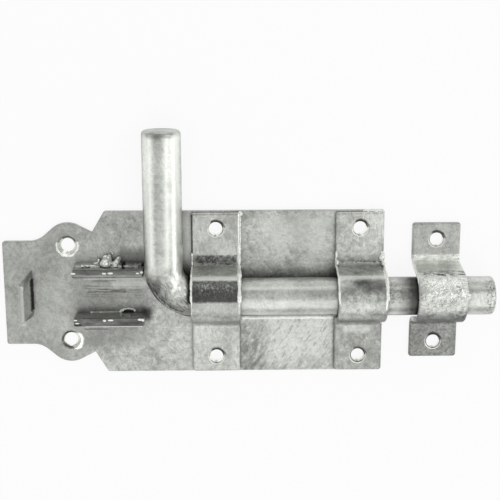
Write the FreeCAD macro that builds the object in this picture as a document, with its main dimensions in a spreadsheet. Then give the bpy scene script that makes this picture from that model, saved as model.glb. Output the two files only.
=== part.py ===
import FreeCAD, Part
import Sketcher
import math
import os

# Driving dimensions in millimetres
SIZES = {
    "plate_length": 200.0,
    "plate_width": 87.2,
    "plate_thickness": 3.0,
    "plate_edge_round": 0.4,
    "plate_corner_round": 1.2,
    "shoulder_inset": 53.5,
    "notch_inset": 46.8,
    "notch_width": 64.8,
    "lobe_inset": 34.0,
    "lobe_radius": 11.9,
    "lobe_hole_spacing": 51.4,
    "lobe_sink": 1.75,
    "tongue_length": 18.4,
    "tongue_width": 55.8,
    "tongue_root_round": 12.0,
    "screw_hole": 7.0,
    "stop_inset": 14.6,
    "stop_length": 25.0,
    "stop_depth": 7.0,
    "stop_taper": 1.6,
    "stop_skew": 6.4,
    "stop_slant": 3.2,
    "stop_rise": 3.8,
    "stop_wall": 2.8,
    "strap_width": 25.4,
    "strap_thickness": 3.0,
    "strap_edge_round": 1.2,
    "strap_corner_round": 1.5,
    "keeper_side_gap": 0.6,
    "keeper_hole_inset": 8.4,
    "keeper_sink": 0.8,
    "keeper_bend": 4.0,
    "keeper_flare": 1.5,
    "keeper_pitch": 75.4,
    "keeper_end_gap": 0.3,
    "catch_span": 73.4,
    "catch_hole_inset": 8.8,
    "catch_bend": 3.0,
    "catch_flare": 2.4,
    "catch_side_play": 0.9,
    "catch_top_play": 1.0,
    "catch_gap": 15.3,
    "bolt_diameter": 20.0,
    "bolt_play": 0.6,
    "bolt_bend": 15.5,
    "tip_proud": 15.3,
    "handle_gap": 4.1,
    "handle_reach": 86.9,
    "handle_end_round": 2.4,
    "tip_end_round": 1.6,
    "lug_length": 36.8,
    "lug_height": 11.6,
    "lug_thickness": 4.4,
    "lug_play": 0.7,
    "lug_gap": 0.6,
    "lug_edge_round": 0.5,
    "lug_corner_round": 1.6,
    "shackle_hole": 7.2,
    "shackle_inset": 8.6,
    "shackle_height": 6.2,
    "lug_weld_leg": 2.6,
    "lug_weld_length": 32.0,
    "lug_weld_lump_length": 16.0,
    "lug_weld_lump_leg": 5.6,
    "lug_weld_lump_place": -1.2,
    "side_weld_leg": 1.8,
    "side_weld_length": 22.0,
    "end_weld_leg": 1.3,
    "end_weld_length": 9.0,
}

# Lengths that follow from the driving dimensions
BOLT_RADIUS = "(sizes.bolt_diameter / 2)"
BOLT_HEIGHT = "(sizes.plate_thickness + sizes.bolt_play + sizes.bolt_diameter / 2)"
FRONT_PLACE = "(sizes.plate_length / 2 - sizes.keeper_end_gap - sizes.strap_width / 2)"
REAR_PLACE = "(" + FRONT_PLACE + " - sizes.keeper_pitch)"
CATCH_PLACE = "(" + FRONT_PLACE + " + sizes.strap_width + sizes.catch_gap)"
KEEPER_BORE = "(sizes.bolt_diameter / 2 + sizes.bolt_play)"
KEEPER_SPAN = "(sizes.plate_width - 2 * sizes.keeper_side_gap)"
KEEPER_HOLE = "(" + KEEPER_SPAN + " / 2 - sizes.keeper_hole_inset)"
CATCH_BORE = "(sizes.bolt_diameter / 2 + sizes.catch_side_play)"
CATCH_ARCH = "(" + BOLT_HEIGHT + " + sizes.bolt_diameter / 2 + sizes.catch_top_play - " + CATCH_BORE + ")"
CATCH_HOLE = "(sizes.catch_span / 2 - sizes.catch_hole_inset)"
TIP_PLACE = "(" + CATCH_PLACE + " + sizes.strap_width / 2 + sizes.tip_proud)"
HANDLE_PLACE = "(" + REAR_PLACE + " - sizes.strap_width / 2 - sizes.handle_gap - sizes.bolt_diameter / 2)"
LUG_END = "(" + HANDLE_PLACE + " - sizes.bolt_diameter / 2 - sizes.lug_gap)"
LUG_PLACE = "(" + LUG_END + " - sizes.lug_length / 2)"
LUG_FACE = "(sizes.bolt_diameter / 2 + sizes.lug_play)"

doc = FreeCAD.newDocument("slide_bolt")
sheet = doc.addObject("Spreadsheet::Sheet", "sizes")
for row, (alias, number) in enumerate(SIZES.items(), start=1):
    sheet.set("A%d" % row, alias)
    sheet.set("B%d" % row, str(number))
    sheet.setAlias("B%d" % row, alias)
doc.recompute()
ruler = doc.addObject("App::FeaturePython", "ruler")


def size(expression):
    return float(ruler.evalExpression(expression))


def named(name):
    return size("sizes." + name)


# Bodies, sketches and constraints

def new_body(name):
    body = doc.addObject("PartDesign::Body", name)
    body.Label = name
    return body


def place_body(body, x="0", y="0", z="0", turn=0):
    body.Placement = FreeCAD.Placement(FreeCAD.Vector(), FreeCAD.Rotation(FreeCAD.Vector(0, 0, 1), turn))
    for axis, expression in (("x", x), ("y", y), ("z", z)):
        body.setExpression("Placement.Base." + axis, expression)


def origin_plane(body, role):
    return next(item for item in body.Origin.OriginFeatures if item.Role == role)


def new_sketch(body, name, role, height=None):
    sketch = body.newObject("Sketcher::SketchObject", name)
    sketch.AttachmentSupport = [(origin_plane(body, role), "")]
    sketch.MapMode = "FlatFace"
    if height:
        sketch.setExpression("AttachmentOffset.Base.z", height)
    return sketch


def bind(sketch, label, expression, kind, *places):
    number = sketch.addConstraint(Sketcher.Constraint(kind, *places, size(expression)))
    sketch.renameConstraint(number, label)
    sketch.setExpression("Constraints." + label, expression)


def line(start, end):
    return Part.LineSegment(FreeCAD.Vector(*start, 0), FreeCAD.Vector(*end, 0))


def arc(centre, radius, first, last):
    circle = Part.Circle(FreeCAD.Vector(*centre, 0), FreeCAD.Vector(0, 0, 1), radius)
    return Part.ArcOfCircle(circle, math.radians(first), math.radians(last))


def joined_ends(sketch, before, here):
    pairs = [(a, b) for a in (1, 2) for b in (1, 2)]
    return min(pairs, key=lambda ends: sketch.getPoint(before, ends[0]).distanceToPoint(sketch.getPoint(here, ends[1])))


# A closed outline; the edges numbered in smooth start tangent to the edge before them
def draw_outline(sketch, edges, smooth=()):
    for edge in edges:
        sketch.addGeometry(edge, False)
    for here in range(len(edges)):
        before = (here - 1) % len(edges)
        end, start = joined_ends(sketch, before, here)
        kind = "Tangent" if here in smooth else "Coincident"
        sketch.addConstraint(Sketcher.Constraint(kind, before, end, here, start))


def level(sketch, *edges):
    for edge in edges:
        sketch.addConstraint(Sketcher.Constraint("Horizontal", edge))


def upright(sketch, *edges):
    for edge in edges:
        sketch.addConstraint(Sketcher.Constraint("Vertical", edge))


def draw_holes(sketch, radius, centres):
    for number, (x, y) in enumerate(centres):
        circle = Part.Circle(FreeCAD.Vector(size(x), size(y), 0), FreeCAD.Vector(0, 0, 1), size(radius))
        sketch.addGeometry(circle, False)
        bind(sketch, "radius_%d" % number, radius, "Radius", number)
        bind(sketch, "across_%d" % number, x, "DistanceX", -1, 1, number, 3)
        bind(sketch, "along_%d" % number, y, "DistanceY", -1, 1, number, 3)


# Features

def pad(body, name, sketch, length, both_sides=False):
    feature = body.newObject("PartDesign::Pad", name)
    feature.Profile = sketch
    feature.SideType = "Symmetric" if both_sides else "One side"
    feature.setExpression("Length", length)
    doc.recompute()
    return feature


def cut_through(body, name, sketch):
    volume = body.Shape.Volume
    feature = body.newObject("PartDesign::Pocket", name)
    feature.Profile = sketch
    feature.Type = "ThroughAll"
    doc.recompute()
    if body.Shape.Volume >= volume:
        raise RuntimeError(name + " cuts nothing")
    return feature


def mirror(body, name, original, role):
    feature = body.newObject("PartDesign::Mirrored", name)
    feature.Originals = [original]
    feature.MirrorPlane = (origin_plane(body, role), [""])
    body.Tip = feature
    doc.recompute()
    return feature


def edges_where(feature, test):
    return ["Edge%d" % number for number, edge in enumerate(feature.Shape.Edges, start=1) if test(edge)]


def dress(body, kind, name, feature, edges, length):
    dressed = body.newObject("PartDesign::" + kind, name)
    dressed.Base = (feature, edges)
    dressed.setExpression("Size" if kind == "Chamfer" else "Radius", length)
    body.Tip = dressed
    doc.recompute()
    return dressed


def near(a, b):
    return abs(a - b) < 1e-4


def stands_at(edge, x, y):
    points = [vertex.Point for vertex in edge.Vertexes]
    return len(points) == 2 and all(near(point.x, x) and near(point.y, y) for point in points)


def lies_at(edge, axis, place):
    box = edge.BoundBox
    return near(getattr(box, axis + "Min"), place) and near(getattr(box, axis + "Max"), place)


def hole_rim(edge, radius, height):
    return isinstance(edge.Curve, Part.Circle) and near(edge.Curve.Radius, radius) and lies_at(edge, "Z", height)


# Point where the tangent from a point outside a circle touches it, on the side given by sign
def touch_angle(point, centre, radius, sign):
    dx, dy = point[0] - centre[0], point[1] - centre[1]
    return math.degrees(math.atan2(dy, dx) + sign * math.acos(radius / math.hypot(dx, dy)))


def on_circle(centre, radius, angle):
    return (centre[0] + radius * math.cos(math.radians(angle)), centre[1] + radius * math.sin(math.radians(angle)))


# Base plate: half outline with a screw lobe and half of the tongue, mirrored over the bolt's line
def half_plate(body):
    sketch = new_sketch(body, "half_outline", "XY_Plane")
    half_length = named("plate_length") / 2
    half_width = named("plate_width") / 2
    half_tongue = named("tongue_width") / 2
    shoulder = (named("shoulder_inset") - half_length, half_width)
    notch = (named("notch_inset") - half_length, named("notch_width") / 2)
    root = (named("tongue_length") - half_length, half_tongue)
    lobe = (named("lobe_inset") - half_length, named("lobe_hole_spacing") / 2)
    radius = named("lobe_radius")
    first = touch_angle(notch, lobe, radius, 1)
    last = touch_angle(root, lobe, radius, -1) % 360
    draw_outline(sketch, [
        line((-half_length, 0), (half_length, 0)),
        line((half_length, 0), (half_length, half_width)),
        line((half_length, half_width), shoulder),
        line(shoulder, notch),
        line(notch, on_circle(lobe, radius, first)),
        arc(lobe, radius, first, last),
        line(on_circle(lobe, radius, last), root),
        line(root, (-half_length, half_tongue)),
        line((-half_length, half_tongue), (-half_length, 0)),
    ], smooth=(5, 6))
    level(sketch, 0, 2, 7)
    upright(sketch, 1, 8)
    sketch.addConstraint(Sketcher.Constraint("PointOnObject", 0, 1, -1))
    bind(sketch, "left_end", "sizes.plate_length / 2", "DistanceX", 0, 1, -1, 1)
    bind(sketch, "right_end", "sizes.plate_length / 2", "DistanceX", -1, 1, 0, 2)
    bind(sketch, "half_width", "sizes.plate_width / 2", "DistanceY", -1, 1, 2, 1)
    bind(sketch, "shoulder", "sizes.plate_length / 2 - sizes.shoulder_inset", "DistanceX", 2, 2, -1, 1)
    bind(sketch, "notch", "sizes.plate_length / 2 - sizes.notch_inset", "DistanceX", 3, 2, -1, 1)
    bind(sketch, "half_notch", "sizes.notch_width / 2", "DistanceY", -1, 1, 3, 2)
    bind(sketch, "lobe", "sizes.plate_length / 2 - sizes.lobe_inset", "DistanceX", 5, 3, -1, 1)
    bind(sketch, "half_spacing", "sizes.lobe_hole_spacing / 2", "DistanceY", -1, 1, 5, 3)
    bind(sketch, "lobe_radius", "sizes.lobe_radius", "Radius", 5)
    bind(sketch, "root", "sizes.plate_length / 2 - sizes.tongue_length", "DistanceX", 7, 1, -1, 1)
    bind(sketch, "half_tongue", "sizes.tongue_width / 2", "DistanceY", -1, 1, 7, 1)
    return pad(body, "half_plate", sketch, "sizes.plate_thickness")


# One level of the pressed stop: long at the sheared edge, shorter and skewed at the crease
def stop_section(body, name, height, inset, slant):
    sketch = new_sketch(body, name, "XY_Plane", height)
    edge = named("stop_inset") - named("plate_length") / 2 - size(inset)
    crease = edge - named("stop_depth") + size(slant) + 2 * size(inset)
    middle = -named("stop_skew")
    half_edge = named("stop_length") / 2 - size(slant) - size(inset)
    half_crease = half_edge - named("stop_taper")
    corners = [(edge, -half_edge), (edge, half_edge), (crease, middle + half_crease),
               (crease, middle - half_crease)]
    draw_outline(sketch, [line(corners[number], corners[(number + 1) % 4]) for number in range(4)])
    upright(sketch, 0, 2)
    bind(sketch, "edge", "sizes.plate_length / 2 - sizes.stop_inset + " + inset, "DistanceX", 0, 1, -1, 1)
    bind(sketch, "depth", "sizes.stop_depth - %s - 2 * %s" % (slant, inset), "DistanceX", 2, 1, 0, 2)
    bind(sketch, "low", "sizes.stop_length / 2 - %s - %s" % (slant, inset), "DistanceY", 0, 1, -1, 1)
    bind(sketch, "length", "sizes.stop_length - 2 * %s - 2 * %s" % (slant, inset), "DistanceY", 0, 1, 0, 2)
    bind(sketch, "top_drop", "sizes.stop_skew + sizes.stop_taper", "DistanceY", 2, 1, 0, 2)
    bind(sketch, "low_drop", "sizes.stop_skew - sizes.stop_taper", "DistanceY", 2, 2, 0, 1)
    return sketch


def loft(body, kind, name, bottom, top):
    feature = body.newObject("PartDesign::" + kind, name)
    feature.Profile = bottom
    feature.Sections = [top]
    feature.Ruled = True
    doc.recompute()
    return feature


def make_base_plate():
    body = new_body("base_plate")
    mirror(body, "whole_plate", half_plate(body), "XZ_Plane")
    top = named("plate_thickness")
    half_length = named("plate_length") / 2
    corners = [(-half_length, named("tongue_width") / 2), (half_length, named("plate_width") / 2),
               (named("shoulder_inset") - half_length, named("plate_width") / 2)]
    spots = [(x, side * y) for x, y in corners for side in (1, -1)]
    rounded = dress(body, "Fillet", "rounded_corners", body.Tip,
                    edges_where(body.Tip, lambda edge: any(stands_at(edge, x, y) for x, y in spots)),
                    "sizes.plate_corner_round")
    roots = [(named("tongue_length") - half_length, side * named("tongue_width") / 2) for side in (1, -1)]
    blended = dress(body, "Fillet", "blended_roots", rounded,
                    edges_where(rounded, lambda edge: any(stands_at(edge, x, y) for x, y in roots)),
                    "sizes.tongue_root_round")
    eased = dress(body, "Fillet", "eased_edge", blended,
                  edges_where(blended, lambda edge: lies_at(edge, "Z", top)), "sizes.plate_edge_round")
    height = "sizes.plate_thickness"
    raised = "sizes.plate_thickness + sizes.stop_rise"
    loft(body, "AdditiveLoft", "stop", stop_section(body, "stop_foot", height, "0", "0"),
         stop_section(body, "stop_head", raised, "0", "sizes.stop_slant"))
    loft(body, "SubtractiveLoft", "stop_hollow", stop_section(body, "hollow_foot", "0", "sizes.stop_wall / 2", "0"),
         stop_section(body, "hollow_head", raised + " - sizes.stop_wall", "sizes.stop_wall / 2", "sizes.stop_slant"))
    holes = new_sketch(body, "screw_holes", "XY_Plane", height)
    draw_holes(holes, "sizes.screw_hole / 2", [
        (place, side + spacing)
        for place, spacing in (("sizes.lobe_inset - sizes.plate_length / 2", "sizes.lobe_hole_spacing / 2"),
                               (REAR_PLACE, KEEPER_HOLE), (FRONT_PLACE, KEEPER_HOLE))
        for side in ("", "-")])
    drilled = cut_through(body, "drilled", holes)
    lobe = named("lobe_inset") - half_length
    rims = edges_where(drilled, lambda edge: hole_rim(edge, named("screw_hole") / 2, top)
                       and near(edge.Curve.Center.x, lobe))
    dress(body, "Chamfer", "countersinks", drilled, rims, "sizes.lobe_sink")
    return body


# Strap bent to a hat with flared legs: half profile across the bolt, mirrored, one screw hole in each flange
def make_strap(name, bore, arch, bend, flare, span, hole, sink=None):
    body = new_body(name)
    sketch = new_sketch(body, name + "_half_profile", "YZ_Plane")
    inner, middle, corner = size(bore), size(arch), size(bend)
    thick = named("strap_thickness")
    outer = inner + thick
    foot = outer + corner + size(flare)
    rise = thick + corner
    end = size(span) / 2
    lean = math.degrees(math.acos((outer + corner) / math.hypot(foot, middle - rise)) - math.atan2(middle - rise, foot))
    centre, bend_centre = (0, middle), (foot, rise)
    draw_outline(sketch, [
        arc(centre, inner, lean, 90),
        line(on_circle(centre, inner, lean), on_circle(bend_centre, rise, 180 + lean)),
        arc(bend_centre, rise, 180 + lean, 270),
        line((foot, 0), (end, 0)),
        line((end, 0), (end, thick)),
        line((end, thick), (foot, thick)),
        arc(bend_centre, corner, 180 + lean, 270),
        line(on_circle(bend_centre, corner, 180 + lean), on_circle(centre, outer, lean)),
        arc(centre, outer, lean, 90),
        line((0, middle + outer), (0, middle + inner)),
    ], smooth=(1, 2, 3, 6, 7, 8))
    level(sketch, 3, 5)
    upright(sketch, 4, 9)
    sketch.addConstraint(Sketcher.Constraint("PointOnObject", 0, 3, -2))
    sketch.addConstraint(Sketcher.Constraint("PointOnObject", 9, 2, -2))
    sketch.addConstraint(Sketcher.Constraint("PointOnObject", 3, 1, -1))
    sketch.addConstraint(Sketcher.Constraint("Coincident", 0, 3, 8, 3))
    sketch.addConstraint(Sketcher.Constraint("Coincident", 2, 3, 6, 3))
    bind(sketch, "arch", arch, "DistanceY", -1, 1, 0, 3)
    bind(sketch, "bore", bore, "Radius", 0)
    bind(sketch, "crown", bore + " + sizes.strap_thickness", "Radius", 8)
    bind(sketch, "bend", bend, "Radius", 6)
    bind(sketch, "foot", "%s + sizes.strap_thickness + %s + %s" % (bore, bend, flare), "DistanceX", -1, 1, 6, 3)
    bind(sketch, "half_span", span + " / 2", "DistanceX", -1, 1, 3, 2)
    half = pad(body, name + "_half", sketch, "sizes.strap_width", both_sides=True)
    whole = mirror(body, name + "_whole", half, "XZ_Plane")
    side = named("strap_width") / 2
    spots = [(x, y) for x in (side, -side) for y in (end, -end)]
    rounded = dress(body, "Fillet", name + "_corners", whole,
                    edges_where(whole, lambda edge: any(stands_at(edge, x, y) for x, y in spots)),
                    "sizes.strap_corner_round")
    eased = dress(body, "Fillet", name + "_edges", rounded,
                  edges_where(rounded, lambda edge: lies_at(edge, "X", side) or lies_at(edge, "X", -side)),
                  "sizes.strap_edge_round")
    holes = new_sketch(body, name + "_screw_holes", "XY_Plane", "sizes.strap_thickness")
    draw_holes(holes, "sizes.screw_hole / 2", [("0", hole), ("0", "-" + hole)])
    drilled = cut_through(body, name + "_drilled", holes)
    if sink:
        rims = edges_where(drilled, lambda edge: hole_rim(edge, named("screw_hole") / 2, thick))
        dress(body, "Chamfer", name + "_sinks", drilled, rims, sink)
    return body


def make_keeper(name, place):
    body = make_strap(name, KEEPER_BORE, KEEPER_BORE, "sizes.keeper_bend", "sizes.keeper_flare", KEEPER_SPAN,
                      KEEPER_HOLE, "sizes.keeper_sink")
    place_body(body, x=place, z="sizes.plate_thickness")
    return body


def make_catch():
    body = make_strap("catch", CATCH_BORE, CATCH_ARCH, "sizes.catch_bend", "sizes.catch_flare", "sizes.catch_span",
                      CATCH_HOLE)
    place_body(body, x=CATCH_PLACE)
    return body


# Bolt: one round bar along its line, a quarter bend, and the handle; drawn from the handle's axis
def make_bolt():
    body = new_body("bolt")
    path = new_sketch(body, "bar_path", "XY_Plane")
    length = TIP_PLACE + " - " + HANDLE_PLACE
    bend, reach = named("bolt_bend"), named("handle_reach")
    for edge in (line((size(length), 0), (bend, 0)),
                 arc((bend, bend), bend, 180, 270),
                 line((0, bend), (0, reach))):
        path.addGeometry(edge, False)
    path.addConstraint(Sketcher.Constraint("Tangent", 0, 2, 1, 2))
    path.addConstraint(Sketcher.Constraint("Tangent", 1, 1, 2, 1))
    path.addConstraint(Sketcher.Constraint("PointOnObject", 0, 1, -1))
    path.addConstraint(Sketcher.Constraint("PointOnObject", 2, 2, -2))
    level(path, 0)
    upright(path, 2)
    bind(path, "length", length, "DistanceX", -1, 1, 0, 1)
    bind(path, "bend", "sizes.bolt_bend", "Radius", 1)
    bind(path, "handle_reach", "sizes.handle_reach", "DistanceY", -1, 1, 2, 2)
    section = new_sketch(body, "bar_section", "YZ_Plane", length)
    draw_holes(section, BOLT_RADIUS, [("0", "0")])
    bar = body.newObject("PartDesign::AdditivePipe", "bent_bar")
    bar.Profile = section
    bar.Spine = path
    doc.recompute()
    tip = dress(body, "Fillet", "round_tip", bar,
                edges_where(bar, lambda edge: lies_at(edge, "X", size(length))), "sizes.tip_end_round")
    dress(body, "Fillet", "round_handle", tip,
          edges_where(tip, lambda edge: lies_at(edge, "Y", reach)), "sizes.handle_end_round")
    place_body(body, x=HANDLE_PLACE, z=BOLT_HEIGHT)
    return body


# Lug: flat bar on edge with the shackle hole
def make_lug(name, side):
    body = new_body(name)
    sketch = new_sketch(body, name + "_side", "XZ_Plane")
    half, height = named("lug_length") / 2, named("lug_height")
    corners = [(-half, 0), (half, 0), (half, height), (-half, height)]
    draw_outline(sketch, [line(corners[number], corners[(number + 1) % 4]) for number in range(4)])
    level(sketch, 0, 2)
    upright(sketch, 1, 3)
    sketch.addConstraint(Sketcher.Constraint("PointOnObject", 0, 1, -1))
    bind(sketch, "left", "sizes.lug_length / 2", "DistanceX", 0, 1, -1, 1)
    bind(sketch, "length", "sizes.lug_length", "DistanceX", 0, 1, 0, 2)
    bind(sketch, "height", "sizes.lug_height", "DistanceY", 1, 1, 1, 2)
    bar = pad(body, name + "_bar", sketch, "sizes.lug_thickness", both_sides=True)
    rounded = dress(body, "Fillet", name + "_corners", bar,
                    edges_where(bar, lambda edge: (lies_at(edge, "X", half) or lies_at(edge, "X", -half))
                                and lies_at(edge, "Z", height)), "sizes.lug_corner_round")
    faces = [named("lug_thickness") / 2, -named("lug_thickness") / 2]
    eased = dress(body, "Fillet", name + "_edges", rounded,
                  edges_where(rounded, lambda edge: any(lies_at(edge, "Y", face) for face in faces)
                              and not lies_at(edge, "Z", 0)), "sizes.lug_edge_round")
    hole = new_sketch(body, name + "_shackle_hole", "XZ_Plane", "sizes.lug_thickness")
    draw_holes(hole, "sizes.shackle_hole / 2", [("sizes.lug_length / 2 - sizes.shackle_inset", "sizes.shackle_height")])
    cut_through(body, name + "_drilled", hole)
    place_body(body, x=LUG_PLACE, y="%s * (%s + sizes.lug_thickness / 2)" % (side, LUG_FACE),
               z="sizes.plate_thickness")
    return body


# Weld bead: quarter round with rounded ends, in the corner between an upright face and the plate
def bead_sketch(body, name, length, leg):
    sketch = new_sketch(body, name, "XY_Plane")
    half, radius = size(length) / 2, size(leg)
    draw_outline(sketch, [
        line((-half, 0), (half, 0)),
        arc((half - radius, 0), radius, 0, 90),
        line((half - radius, radius), (radius - half, radius)),
        arc((radius - half, 0), radius, 90, 180),
    ], smooth=(2, 3))
    level(sketch, 0)
    sketch.addConstraint(Sketcher.Constraint("PointOnObject", 0, 1, -1))
    sketch.addConstraint(Sketcher.Constraint("PointOnObject", 1, 3, -1))
    sketch.addConstraint(Sketcher.Constraint("PointOnObject", 3, 3, -1))
    bind(sketch, "left", length + " / 2", "DistanceX", 0, 1, -1, 1)
    bind(sketch, "length", length, "DistanceX", 0, 1, 0, 2)
    bind(sketch, "leg", leg, "Radius", 1)
    return sketch


def quarter_turn(body, name, sketch):
    feature = body.newObject("PartDesign::Revolution", name)
    feature.Profile = sketch
    feature.ReferenceAxis = (sketch, ["H_Axis"])
    feature.Angle = 90
    doc.recompute()
    return feature


def make_bead(name, length, leg):
    body = new_body(name)
    quarter_turn(body, name + "_bead", bead_sketch(body, name + "_line", length, leg))
    return body


# The upper lug's weld has a large lump over its bead
def add_lump(body):
    sketch = new_sketch(body, "lump_line", "XY_Plane")
    half, leg = named("lug_weld_lump_length") / 2, named("lug_weld_lump_leg")
    place = named("lug_weld_lump_place")
    radius = (half ** 2 + leg ** 2) / (2 * leg)
    reach = math.degrees(math.asin(half / radius))
    sketch.addGeometry(line((place - half, 0), (place + half, 0)), False)
    sketch.addGeometry(arc((place, leg - radius), radius, 90 - reach, 90 + reach), False)
    sketch.addConstraint(Sketcher.Constraint("Coincident", 0, 1, 1, 2))
    sketch.addConstraint(Sketcher.Constraint("Coincident", 0, 2, 1, 1))
    level(sketch, 0)
    sketch.addConstraint(Sketcher.Constraint("PointOnObject", 0, 1, -1))
    bind(sketch, "left", "sizes.lug_weld_lump_length / 2 - sizes.lug_weld_lump_place", "DistanceX", 0, 1, -1, 1)
    bind(sketch, "length", "sizes.lug_weld_lump_length", "DistanceX", 0, 1, 0, 2)
    bind(sketch, "radius",
         "(sizes.lug_weld_lump_length ^ 2 / 4 + sizes.lug_weld_lump_leg ^ 2) / (2 * sizes.lug_weld_lump_leg)",
         "Radius", 1)
    quarter_turn(body, "lump", sketch)


def make_welds():
    outer_face = "(" + LUG_FACE + " + sizes.lug_thickness)"
    upper = make_bead("upper_lug_weld", "sizes.lug_weld_length", "sizes.lug_weld_leg")
    add_lump(upper)
    place_body(upper, x=LUG_PLACE, y=outer_face, z="sizes.plate_thickness")
    lower = make_bead("lower_lug_weld", "sizes.lug_weld_length", "sizes.lug_weld_leg")
    place_body(lower, x=LUG_PLACE, y="-" + outer_face, z="sizes.plate_thickness", turn=180)
    side = make_bead("rear_keeper_weld", "sizes.side_weld_length", "sizes.side_weld_leg")
    place_body(side, x=REAR_PLACE + " + sizes.strap_width / 2",
               y=KEEPER_SPAN + " / 2 - sizes.side_weld_length / 2 - sizes.strap_corner_round",
               z="sizes.plate_thickness", turn=-90)
    end = make_bead("front_keeper_weld", "sizes.end_weld_length", "sizes.end_weld_leg")
    place_body(end, x=FRONT_PLACE + " + sizes.strap_width / 2 - sizes.end_weld_length / 2 - sizes.strap_corner_round",
               y=KEEPER_SPAN + " / 2", z="sizes.plate_thickness")
    return [upper, lower, side, end]


pieces = [
    make_base_plate(),
    make_keeper("rear_keeper", REAR_PLACE),
    make_keeper("front_keeper", FRONT_PLACE),
    make_lug("upper_lug", "1"),
    make_lug("lower_lug", "-1"),
    make_bolt(),
    make_catch(),
] + make_welds()
doc.recompute()

for item in doc.Objects:
    if "Invalid" in item.State or "Error" in item.State:
        raise RuntimeError(item.Name + " failed: " + ", ".join(item.State))
for piece in pieces:
    if piece.Shape.isNull() or not piece.Shape.isValid() or len(piece.Shape.Solids) != 1:
        raise RuntimeError(piece.Label + " is not one valid solid")

os.makedirs("parts", exist_ok=True)
for piece in pieces:
    piece.Shape.exportStep("parts/" + piece.Label + ".step")
    box = piece.Shape.BoundBox
    print("%-18s %9.1f mm3  x %7.2f %7.2f  y %7.2f %7.2f  z %6.2f %6.2f" % (
        piece.Label, piece.Shape.Volume, box.XMin, box.XMax, box.YMin, box.YMax, box.ZMin, box.ZMax))
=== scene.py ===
import math
import random

import bmesh
import bpy
from mathutils import Matrix, Vector, noise
from mathutils.bvhtree import BVHTree


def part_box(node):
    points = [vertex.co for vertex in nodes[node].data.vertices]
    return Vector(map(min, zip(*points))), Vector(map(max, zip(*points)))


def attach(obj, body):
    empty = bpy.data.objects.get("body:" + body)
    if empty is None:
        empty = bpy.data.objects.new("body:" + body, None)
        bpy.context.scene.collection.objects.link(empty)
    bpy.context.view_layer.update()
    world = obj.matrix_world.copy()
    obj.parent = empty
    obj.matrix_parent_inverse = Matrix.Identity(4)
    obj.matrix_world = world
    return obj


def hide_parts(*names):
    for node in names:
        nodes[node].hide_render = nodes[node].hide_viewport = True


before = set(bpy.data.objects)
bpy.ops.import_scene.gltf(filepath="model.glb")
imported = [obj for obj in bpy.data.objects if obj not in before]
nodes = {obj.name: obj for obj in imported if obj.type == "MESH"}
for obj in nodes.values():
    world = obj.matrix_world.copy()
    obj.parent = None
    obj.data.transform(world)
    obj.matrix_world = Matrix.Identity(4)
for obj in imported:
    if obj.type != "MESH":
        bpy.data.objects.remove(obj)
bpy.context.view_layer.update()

millimetre = 0.001
metre = 1000  # in millimetres, the unit of the lengths below, apart from the studio's and the camera's
print("slide bolt: the solids are loaded,", len(nodes), "of them")


# Nodes of a material, made in one line each

def newMaterial(name):
    material = bpy.data.materials.new(name)
    material.use_nodes = True
    material.node_tree.nodes.clear()
    return material, material.node_tree


def addNode(tree, kind, inputs=None, **settings):
    node = tree.nodes.new(kind)
    for key, value in settings.items():
        setattr(node, key, value)
    for key, value in (inputs or {}).items():
        socket = node.inputs[key]
        if isinstance(value, bpy.types.NodeSocket):
            tree.links.new(value, socket)
        else:
            socket.default_value = value
    return node


def ranged(tree, value, low, high, newLow=0.0, newHigh=1.0):
    node = addNode(tree, "ShaderNodeMapRange", {0: value, 1: low, 2: high, 3: newLow, 4: newHigh})
    return node.outputs[0]


def combined(tree, operation, first, second):
    return addNode(tree, "ShaderNodeMath", {0: first, 1: second}, operation=operation).outputs[0]


def times(tree, first, second):
    return combined(tree, "MULTIPLY", first, second)


def plus(tree, first, second):
    return combined(tree, "ADD", first, second)


def blended(tree, amount, first, second):
    return addNode(tree, "ShaderNodeMix", {0: amount, 6: first, 7: second}, data_type="RGBA").outputs[2]


redTint = 0.4  # of the tint, how much the red loses; the blue loses all of it


def grey(level, tint=0.0):
    return (level * (1 - redTint * tint), level, level * (1 - tint), 1)


def placed(tree, where, turn=0.0, stretch=(1, 1, 1), shift=(0, 0, 0)):
    # millimetres of the object, turned about the plate's upright, then pulled out along a direction
    turned = addNode(tree, "ShaderNodeMapping", {"Vector": where, "Location": shift,
                     "Rotation": (0, 0, math.radians(turn)), "Scale": (metre, metre, metre)})
    pulled = addNode(tree, "ShaderNodeMapping", {"Vector": turned.outputs[0], "Scale": stretch})
    return pulled.outputs[0]


def clouds(tree, where, size, detail, rough, warp=0.0):
    node = addNode(tree, "ShaderNodeTexNoise", {"Vector": where, "Scale": 1 / size, "Detail": detail,
                   "Roughness": rough, "Distortion": warp})
    return node.outputs[0]


def cells(tree, where, size):
    return addNode(tree, "ShaderNodeTexVoronoi", {"Vector": where, "Scale": 1 / size}).outputs[0]


# Hot-dip zinc: grey clouds, runs, strokes, pimples, flecks and pits, painted shade in crevices, then the zones of
# each piece, many of them painted light and shade

zinc = {  # a pair is the span of a noise in which a mark fades in
    "archHeight": 13.6, "archRadius": 13.6,  # of the keepers' and the catch's arches
    "tones": (0.3, 0.7), "runStretch": (0.28, 1, 1),
    "mottleRise": 0.5, "grainRise": 0.25, "runRise": 0.3,  # shares of the bump
    "strokes": (0.56, 0.66), "strokeClouds": (0.4, 0.6), "strokeDark": 0.4, "strokeDepth": 0.3,
    "pimples": (0.22, 0.05), "pimpleMottle": (0.5, 0.62), "pimpleRise": 0.35, "fleckGrey": 0.92,
    "pits": (0.24, 0.08), "pitMottle": (0.5, 0.6), "pitTurn": 20, "pitShift": (31, 7, 3), "pitGrey": 0.07,
    "gloss": (0.35, 0.65), "paintedShadeGrey": 0.02, "paintedShadeSamples": 6,
    "frontSoft": 0.3, "speckleShift": 50,  # moves the speckles on, so that two zones don't repeat them
}
plainZone = dict(soft=0.5, rag=2.0, ragSize=2.2, turn=0, stretch=1, specks=(0.4, 0.56))  # unless a zone says more


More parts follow.
